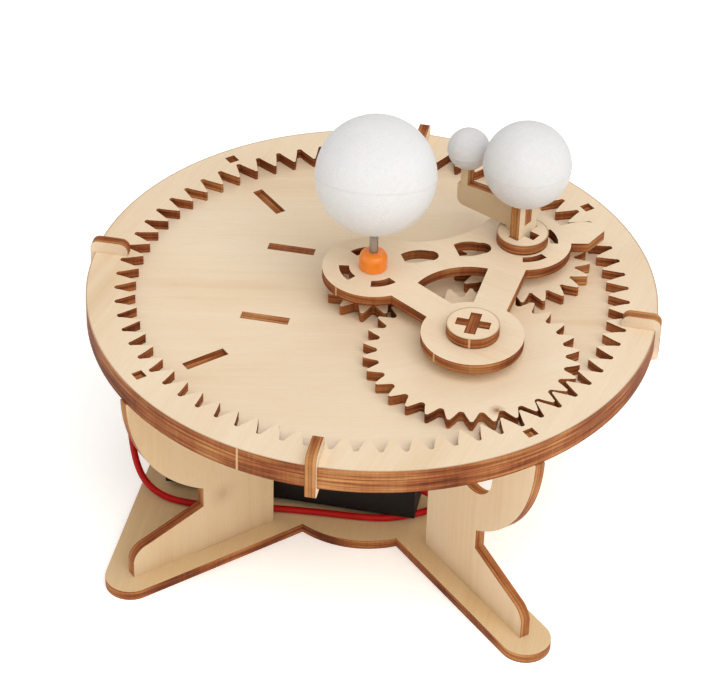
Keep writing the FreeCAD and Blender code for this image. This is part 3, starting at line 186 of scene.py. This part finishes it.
def plywood(name, bottom, plate_turn=None, grain_turn=0.0, seed=0, upright=False, char=0.5, knots=(),
            bridges=(), thickness=SHEET_MM, rims=(), tint=(1.0, 1.0, 1.0)):
    """Bare plywood with a laser-burnt edge.

    A flat sheet lies from bottom upwards, with its grain at grain_turn degrees. A plate on edge lies
    along plate_turn degrees; bottom is then how far its nearer face is from the Z axis, and its grain is
    upright or level. char from 0 to 1 is how dark the cut edge is. knots are (X, Y, Z, size, strength)
    and bridges (X, Y) in metres, the second where the cut left a pale upright line on the edge. rims are
    (X, Y, radius) of round outlines whose face is browned by the cut. tint multiplies the face's
    colours to darken a sheet; on the base plate and the uprights it is painted shade from the deck.
    """
    light, middle, dark = (tinted(shade, tint) for shade in (FACE_LIGHT, FACE_MIDDLE, FACE_DARK))
    nodes = Nodes(name)
    coordinates = nodes.object_space.outputs["Object"]
    normal = nodes.object_space.outputs["Normal"]
    on_edge = plate_turn is not None
    turn = plate_turn if on_edge else grain_turn
    local = nodes.mapped(coordinates, turn=(0, 0, math.radians(-turn)))
    local_normal = nodes.mapped(normal, turn=(0, 0, math.radians(-turn)))
    parts = nodes.add("ShaderNodeSeparateXYZ", {0: local}).outputs
    facing = nodes.add("ShaderNodeSeparateXYZ", {0: local_normal}).outputs
    through = parts[1] if on_edge else parts[2]
    face_axis = facing[1] if on_edge else facing[2]
    if not on_edge:
        along, across = parts[0], parts[1]
    elif upright:
        along, across = parts[2], parts[0]
    else:
        along, across = parts[0], parts[2]
    depth = nodes.math("DIVIDE", nodes.math("SUBTRACT", through, bottom), thickness * MM)
    sheet = nodes.add("ShaderNodeCombineXYZ", {0: along, 1: across, 2: seed * 0.37}).outputs[0]

    warp = nodes.noise(nodes.mapped(sheet, scale=(9, 26, 1)), 1.0, 2.0)
    bent = nodes.add("ShaderNodeCombineXYZ", {
        0: along, 1: nodes.math("MULTIPLY_ADD", warp, 0.006, across), 2: seed * 0.37}).outputs[0]
    patches = nodes.noise(nodes.mapped(bent, scale=(14, 40, 1)), 1.0, 3.0)
    bands = nodes.noise(nodes.mapped(bent, scale=(7, 420, 1)), 1.0, 4.0, 0.6)
    fibres = nodes.noise(nodes.mapped(bent, scale=(90, 3200, 1)), 1.0, 2.0)
    pores = nodes.noise(nodes.mapped(bent, scale=(260, 5200, 1)), 1.0, 1.0)
    tone = nodes.math("ADD", nodes.math("MULTIPLY", patches, 0.70), nodes.math("MULTIPLY", bands, 0.30))
    face = nodes.ramp(tone, [(0.20, dark), (0.44, middle), (0.66, light)])
    face = nodes.mix(nodes.ramp(fibres, [(0.40, grey(0.14)), (0.62, BLACK)]), face, dark)
    face = nodes.mix(nodes.ramp(pores, [(0.30, grey(0.22)), (0.42, BLACK)]), face, dark)
    for x, y, z, width, strength in knots:
        reach = nodes.length(nodes.away_from(coordinates, (x, y, z)))
        ragged = nodes.math("MULTIPLY_ADD", nodes.noise(coordinates, 900.0), width * 0.8, reach)
        spot = nodes.ramp(nodes.math("DIVIDE", ragged, width * 3),
                          [(0.25, grey(strength)), (0.45, grey(strength / 2)), (0.9, BLACK)])
        face = nodes.mix(spot, face, KNOT_BROWN)

    for x, y, radius in rims:
        reach = nodes.level_distance(coordinates, x, y)
        inset = nodes.math("DIVIDE", nodes.math("SUBTRACT", radius, reach), RIM_WIDTH)
        line = nodes.ramp(inset, [(0.0, grey(0.75)), (0.22, grey(0.5)), (0.5, BLACK)])
        face = nodes.mix(line, face, RIM_BROWN)

    # The cut edge: plies that run along it, unevenly browned, with a trace of the laser's pulses.
    layered = (60, 60, 1400) if not on_edge else (60, 1400, 60)
    pulsed = (1300, 1300, 40) if not on_edge else (1300, 40, 1300)
    layers = nodes.noise(nodes.mapped(local, scale=layered), 1.0, 3.0)
    streaks = nodes.noise(nodes.mapped(local, scale=pulsed), 1.0, 2.0)
    drift = nodes.noise(coordinates, 30.0 + seed, 2.0)
    burn = nodes.math("ADD", nodes.math("MULTIPLY", layers, 0.42), nodes.math("MULTIPLY", drift, 0.49))
    burn = nodes.math("MULTIPLY_ADD", streaks, 0.09, burn)
    burn = nodes.math("SUBTRACT", burn, (char - 0.5) * 0.30)
    edge = nodes.ramp(burn, [(0.28, EDGE_CHAR), (0.39, EDGE_DARK), (0.49, EDGE_BROWN), (0.64, EDGE_HONEY)])
    plies = nodes.ramp(depth, [(0.0, grey(0.8)), (0.05, grey(0.25)), (0.15, BLACK), (0.30, BLACK),
                               (0.37, grey(0.45)), (0.44, grey(0.2)), (0.58, grey(0.2)),
                               (0.65, grey(0.45)), (0.72, BLACK), (0.93, BLACK), (1.0, grey(0.55))])
    edge = nodes.mix(plies, edge, EDGE_CHAR)
    for x, y in bridges:
        reach = nodes.level_distance(coordinates, x, y)
        line = nodes.ramp(nodes.math("DIVIDE", reach, BRIDGE_HALF_WIDTH),
                          [(0.35, grey(0.8)), (0.8, BLACK)])
        edge = nodes.mix(line, edge, BRIDGE_PALE)

    is_face = nodes.ramp(nodes.math("ABSOLUTE", face_axis), [(0.45, BLACK), (0.60, WHITE)])
    colour = nodes.mix(is_face, edge, face)
    grain_height = nodes.math("ADD", nodes.math("MULTIPLY", fibres, 0.6),
                              nodes.math("MULTIPLY", pores, 0.4))
    height = nodes.mix(is_face, nodes.math("MULTIPLY", layers, 0.8), grain_height)
    normal_out = nodes.bump(height, 0.25, 0.00012)
    roughness = nodes.math("MULTIPLY_ADD", bands, 0.2, 0.52)
    return nodes.finish(colour, roughness, normal_out, Specular_IOR_Level=0.12)


def flat(name, bottom_mm, grain=0.0, **more):
    """Gives a horizontal sheet its plywood."""
    number = len(bpy.data.materials)
    dress(name, plywood(f"ply_{name}", bottom_mm * MM, grain_turn=grain, seed=number, **more))


def plate(name, turn, upright=False, middle_mm=0.0, **more):
    """Gives a plate on edge its plywood; middle_mm is how far its middle plane is from the Z axis."""
    number = len(bpy.data.materials)
    bottom = (middle_mm - SHEET_MM / 2) * MM
    dress(name, plywood(f"ply_{name}", bottom, plate_turn=turn, seed=number, upright=upright, **more))


def dress(name, material):
    """Puts one material on a carried-over CAD node or a new piece."""
    obj = bpy.data.objects[name]
    obj.data.materials.clear()
    obj.data.materials.append(material)


def offset_of(point, turn):
    """How far in mm a plate through this point, with its radial direction at turn, is from the Z axis."""
    angle = math.radians(turn)
    return (-math.sin(angle) * point[0] + math.cos(angle) * point[1]) / MM


def middle_of(node):
    low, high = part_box(node)
    return (low + high) / 2


PLANET = middle_of("planet_washer")
EARTH = middle_of("earth_washer")
CROSS_TURN = -2.5
MOON_TURN = 153.0
WASHER_RADIUS = 0.0073
DECK_RADIUS = 0.080
RAIL_OFFSET_MM = 16.85
SHELF_BOTTOM = 43.8
DISC_BOTTOM = 65.8
RING_BOTTOM = 70
GEAR_BOTTOM = 70.4
SPACER_BOTTOM = 73.8
ARM_BOTTOM = 77.3
WASHER_BOTTOM = 80.6
DECK_BRIDGE = (-0.02046, -0.07734)

# The base plate's tint is painted shade from the deck above it.
flat("base_plate", 0, grain=90, char=0.6, tint=(0.85, 0.79, 0.65))
flat("base_disc", DISC_BOTTOM, grain=12, char=0.55, thickness=DISC_MM, bridges=[DECK_BRIDGE])
flat("ring_gear", RING_BOTTOM, grain=78, char=0.55, bridges=[DECK_BRIDGE], rims=[(0, 0, DECK_RADIUS)])
# The uprights' tints are painted shade from the deck above them, deepest on the front left one.
for name, turn in (("front_right", 315), ("back_right", 45), ("back_left", 135)):
    plate(f"upright_{name}", turn, upright=True, char=0.45, tint=(0.94, 0.91, 0.86))
plate("upright_front_left", 225, upright=True, char=0.45, tint=(0.84, 0.78, 0.68),
      knots=[(-0.0345, -0.0366, 0.021, 0.0022, 0.3)])
for name, turn in (("right", 0), ("back", 90), ("left", 180), ("front", 270)):
    plate(f"clip_{name}", turn, char=0.35)
plate("motor_rail_front", 0, middle_mm=-RAIL_OFFSET_MM)
plate("motor_rail_back", 0, middle_mm=RAIL_OFFSET_MM)
flat("motor_shelf", SHELF_BOTTOM, grain=90)
flat("sun_pinion", GEAR_BOTTOM, grain=20)
flat("hub_spacer", SPACER_BOTTOM, grain=60)
flat("carrier_arm", ARM_BOTTOM, grain=-20, char=0.5,
     bridges=[(0.02364, -0.03485), (-0.0081, -0.01166)])
flat("planet_gear", GEAR_BOTTOM, grain=35, char=0.62,
     knots=[(0.0431, -0.0465, 0.0734, 0.0011, 0.85)])
flat("earth_gear", GEAR_BOTTOM, grain=70)
for who, centre, turn, marks in (("planet", PLANET, -30, [(0.03249, -0.03098)]),
                                 ("earth", EARTH, 40, [])):
    flat(f"{who}_spacer", SPACER_BOTTOM, grain=turn)
    flat(f"{who}_washer", WASHER_BOTTOM, grain=turn + 15, bridges=marks,
         rims=[(centre.x, centre.y, WASHER_RADIUS)])
plate("planet_axle_strip_a", CROSS_TURN, middle_mm=offset_of(PLANET, CROSS_TURN))
plate("planet_axle_strip_b", CROSS_TURN + 90, middle_mm=offset_of(PLANET, CROSS_TURN + 90))
plate("earth_axle_plate", MOON_TURN + 90, middle_mm=offset_of(EARTH, MOON_TURN + 90), char=0.3)
plate("moon_arm", MOON_TURN, middle_mm=offset_of(EARTH, MOON_TURN), char=0.55,
      tint=(0.82, 0.77, 0.68))


# ---------------------------------------------------------------- plastics and metals

def moulded(name, colour, darker, roughness, grain_scale, bump, coat=0.0, specular=0.5):
    """A moulded plastic with a fine grain, faint blotches and slightly uneven gloss."""
    nodes = Nodes(name)
    coordinates = nodes.object_space.outputs["Object"]
    blotches = nodes.noise(coordinates, 70.0, 3.0)
    grain = nodes.noise(coordinates, grain_scale, 2.0)
    shade = nodes.ramp(blotches, [(0.35, darker), (0.65, colour)])
    shine = nodes.math("MULTIPLY_ADD", grain, 0.18, roughness - 0.09)
    return nodes.finish(shade, shine, nodes.bump(grain, bump, 0.0001), Coat_Weight=coat,
                        Specular_IOR_Level=specular)


def metal(name, colour, darker, roughness, stretch):
    """Bare metal with fine lines left by drawing or turning."""
    nodes = Nodes(name)
    coordinates = nodes.object_space.outputs["Object"]
    lines = nodes.noise(nodes.mapped(coordinates, scale=stretch), 1.0, 3.0)
    stains = nodes.noise(coordinates, 160.0, 3.0)
    shade = nodes.mix(nodes.ramp(stains, [(0.45, BLACK), (0.7, WHITE)]), colour, darker)
    shine = nodes.math("MULTIPLY_ADD", lines, 0.25, roughness - 0.1)
    return nodes.finish(shade, shine, nodes.bump(lines, 0.2, 0.00004), Metallic=1.0)


SEAM_SHADOW_DROP = 0.3 * MM
SEAM_SHADOW_HALF_WIDTH = 0.5 * MM


def foam(name, tone, centre, seam_axis, seam_shadow):
    """White beaded foam: flattened cells with faint hollows between them, and the mould's seam.

    tone is its 8-bit middle tone. The seam runs round the centre, in the plane square to seam_axis; a thin
    painted shadow lies just under it, and seam_shadow from 0 to 1 is how dark that painted shadow is.
    """
    nodes = Nodes(name)
    coordinates = nodes.object_space.outputs["Object"]
    warped = nodes.mix(0.12, coordinates, nodes.noise(coordinates, 300.0, 2.0))
    cells = nodes.add("ShaderNodeTexVoronoi", {"Vector": warped, "Scale": 420.0},
                      feature="DISTANCE_TO_EDGE").outputs[0]
    hollow = nodes.ramp(cells, [(0.0, grey(0.35)), (0.10, grey(0.8)), (0.3, WHITE)])
    broad = nodes.noise(coordinates, 45.0, 3.0)
    white = nodes.ramp(broad, [(0.3, srgb(tone - 5, tone - 6, tone - 7)),
                               (0.7, srgb(tone + 4, tone + 3, tone + 2))])
    # Painted shade: the hollows between the cells are coloured darker, as shade falls in them.
    shade = nodes.mix(hollow, srgb(tone - 14, tone - 16, tone - 18), white)
    # Painted shadow: a thin darker line just under the seam's ridge, where the ridge shades the ball.
    away = nodes.away_from(coordinates, tuple(centre))
    from_seam = nodes.add("ShaderNodeVectorMath", {0: away, 1: tuple(seam_axis)},
                          operation="DOT_PRODUCT").outputs["Value"]
    below = nodes.math("ABSOLUTE", nodes.math("DIVIDE", nodes.math("ADD", from_seam, SEAM_SHADOW_DROP),
                                              SEAM_SHADOW_HALF_WIDTH))
    shade = nodes.mix(nodes.ramp(below, [(0.2, grey(seam_shadow)), (0.9, BLACK)]),
                      shade, srgb(tone - 34, tone - 36, tone - 38))
    fine = nodes.noise(coordinates, 2600.0, 2.0)
    height = nodes.math("MULTIPLY_ADD", fine, 0.25, hollow)
    return nodes.finish(shade, 0.78, nodes.bump(height, 0.22, 0.0003), Specular_IOR_Level=0.25,
                        Subsurface_Weight=0.12, Subsurface_Scale=0.002)


black_plastic = moulded("black_plastic", srgb(26, 22, 19), srgb(19, 16, 14), 0.55, 2600.0, 0.35,
                        specular=0.18)
orange_plastic = moulded("orange_plastic", srgb(255, 146, 40), srgb(250, 130, 26), 0.32, 900.0, 0.05,
                         coat=0.2)
yellow_plastic = moulded("yellow_plastic", srgb(236, 190, 40), srgb(222, 172, 28), 0.42, 1800.0, 0.15)
white_plastic = moulded("white_plastic", srgb(232, 231, 226), srgb(220, 218, 210), 0.40, 1800.0, 0.12)
red_insulation = moulded("red_insulation", srgb(190, 16, 14), srgb(168, 10, 10), 0.42, 1200.0, 0.08,
                         specular=0.2)
sleeve = moulded("cell_sleeve", srgb(40, 46, 56), srgb(30, 34, 42), 0.28, 900.0, 0.05, coat=0.4)
pad_foam = moulded("pad_foam", srgb(222, 219, 208), srgb(196, 192, 180), 0.85, 1400.0, 0.8)
drawn_steel = metal("drawn_steel", srgb(176, 176, 178), srgb(140, 138, 136), 0.35, (2200, 2200, 60))
can_steel = metal("can_steel", srgb(190, 190, 190), srgb(158, 156, 152), 0.30, (60, 1500, 1500))
spring_steel = metal("spring_steel", srgb(196, 196, 198), srgb(150, 150, 152), 0.28, (900, 900, 900))

for name in ("battery_tray", "battery_lid", "switch_housing", "switch_slider"):
    dress(name, black_plastic)
for name in ("gearbox_upper", "gearbox_lower"):
    dress(name, yellow_plastic)
for name in ("gearbox_screws", "lid_screw", "sun_shaft"):
    dress(name, drawn_steel)
for name in ("cell_front", "cell_back"):
    dress(name, sleeve)
dress("motor_can", can_steel)
dress("motor_cap", white_plastic)
dress("contact_plates", spring_steel)
dress("contact_springs", spring_steel)
dress("foam_pad", pad_foam)
dress("orange_bushing", orange_plastic)


# ---------------------------------------------------------------- new pieces

def new_piece(name, mesh_or_curve, body, material):
    """Links a new object in the row frame, and says what it rides on and takes its finish from."""
    piece = bpy.data.objects.new(name, mesh_or_curve)
    scene.collection.objects.link(piece)
    piece.data.materials.append(material)
    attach(piece, body)
    return piece


SKIN_INSET = 0.12 * MM
LUMP_HEIGHT = 0.05 * MM
SEAM_HEIGHT = 0.13 * MM
SEAM_WIDTH = 0.28 * MM


def foam_ball(name, node, body, seam_tilt, seam_turn, seed, tone, seam_shadow):
    """A foam ball a hair smaller than its CAD node, slightly lumpy, with a thin moulding seam."""
    low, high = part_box(node)
    radius = (high.x - low.x) / 2
    centre = Vector(((low.x + high.x) / 2, (low.y + high.y) / 2, high.z - radius))
    skin = radius - SKIN_INSET
    mesh = bpy.data.meshes.new(name)
    shell = bmesh.new()
    bmesh.ops.create_icosphere(shell, subdivisions=6, radius=skin)
    random.seed(seed)
    waves = []
    for _ in range(9):
        way = Vector((random.uniform(-1, 1), random.uniform(-1, 1), random.uniform(-1, 1))).normalized()
        waves.append((way, random.uniform(5, 11), random.uniform(0, 6.28)))
    tilt = math.radians(seam_tilt)
    turn = math.radians(seam_turn)
    seam_axis = Vector((math.sin(tilt) * math.cos(turn), math.sin(tilt) * math.sin(turn), math.cos(tilt)))
    for vertex in shell.verts:
        outward = vertex.co.normalized()
        lump = sum(math.sin(rate * outward.dot(way) + phase) for way, rate, phase in waves) / len(waves)
        from_seam = outward.dot(seam_axis) * skin
        ridge = SEAM_HEIGHT * math.exp(-(from_seam / SEAM_WIDTH) ** 2)
        vertex.co = outward * (skin - LUMP_HEIGHT + LUMP_HEIGHT * lump + ridge) + centre
    shell.to_mesh(mesh)
    shell.free()
    for polygon in mesh.polygons:
        polygon.use_smooth = True
    surface = foam(f"{name}_foam_surface", tone, centre, seam_axis, seam_shadow)
    piece = new_piece(f"{name}_foam", mesh, body, surface)
    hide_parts(node)


# The three balls are the same foam; the lower tone on the earth and the moon is painted shade.
foam_ball("sun", "sun_ball", "sun", seam_tilt=17, seam_turn=98, seed=3, tone=228, seam_shadow=0.18)
foam_ball("earth", "earth_ball", "earth", seam_tilt=5, seam_turn=120, seed=5, tone=224, seam_shadow=0.05)
foam_ball("moon", "moon_ball", "earth", seam_tilt=6, seam_turn=230, seed=9, tone=215, seam_shadow=0.05)

# The wire's route from the motor's tag to the battery box's right end.
WIRE_ROUTE_MM = [
    (-56.1, -5.2, 57.0),
    (-60.2, -5.5, 56.5),
    (-65.2, -8.2, 50.6),
    (-67.9, -12.2, 37.5),
    (-67.0, -16.2, 21.0),
    (-63.6, -19.8, 8.4),
    (-56.6, -22.6, 4.1),
    (-46.5, -24.0, 4.1),
    (-34.5, -22.3, 4.1),
    (-22.5, -20.2, 4.1),
    (-9.5, -19.1, 4.1),
    (1.5, -18.5, 4.1),
    (8.8, -17.5, 4.1),
    (13.6, -15.6, 4.1),
    (18.2, -12.9, 4.1),
    (21.2, -11.4, 4.6),
    (22.6, -10.5, 7.1),
    (21.0, -9.9, 9.6),
    (17.6, -9.5, 10.2),
]
wire_curve = bpy.data.curves.new("red_lead", "CURVE")
wire_curve.dimensions = "3D"
wire_curve.bevel_depth = 1.0 * MM
wire_curve.bevel_resolution = 6
wire_curve.use_fill_caps = True
wire_curve.resolution_u = 14
spline = wire_curve.splines.new("NURBS")
spline.points.add(len(WIRE_ROUTE_MM) - 1)
for point, place in zip(spline.points, WIRE_ROUTE_MM):
    point.co = (*[value * MM for value in place], 1.0)
spline.order_u = 3
spline.use_endpoint_u = True
wire = new_piece("red_lead", wire_curve, "stand", red_insulation)
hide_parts("red_wire")

# ---------------------------------------------------------------- floor and light

floor_mesh = bpy.data.meshes.new("floor")
floor_shape = bmesh.new()
bmesh.ops.create_grid(floor_shape, x_segments=1, y_segments=1, size=4.0)
floor_shape.to_mesh(floor_mesh)
floor_shape.free()
floor = bpy.data.objects.new("floor", floor_mesh)
scene.collection.objects.link(floor)
floor_nodes = Nodes("floor_paper")
floor_nodes.finish(srgb(252, 252, 251), 0.9, Specular_IOR_Level=0.1,
                   Emission_Color=(1.0, 1.0, 1.0, 1.0), Emission_Strength=0.34)
floor.data.materials.append(floor_nodes.material)

world = bpy.data.worlds.new("studio")
world.use_nodes = True
world.node_tree.nodes["Background"].inputs[0].default_value = (1.0, 0.995, 0.985, 1.0)
world.node_tree.nodes["Background"].inputs[1].default_value = 0.51
scene.world = world


def softbox(name, place, size, power, target=(0, 0, 0.06)):
    """A square area light that points at the model."""
    light = bpy.data.lights.new(name, "AREA")
    light.shape = "SQUARE"
    light.size = size
    light.energy = power
    lamp = bpy.data.objects.new(name, light)
    lamp.location = place
    lamp.rotation_euler = (Vector(target) - Vector(place)).to_track_quat("-Z", "Y").to_euler()
    scene.collection.objects.link(lamp)


softbox("key", (0.45, -0.70, 1.3), 1.3, 14.0)
softbox("left", (-1.2, -0.3, 0.9), 0.9, 1.5)
softbox("right", (1.2, -0.5, 0.7), 0.9, 2.0)
softbox("back", (0.2, 1.0, 1.0), 0.9, 1.8)
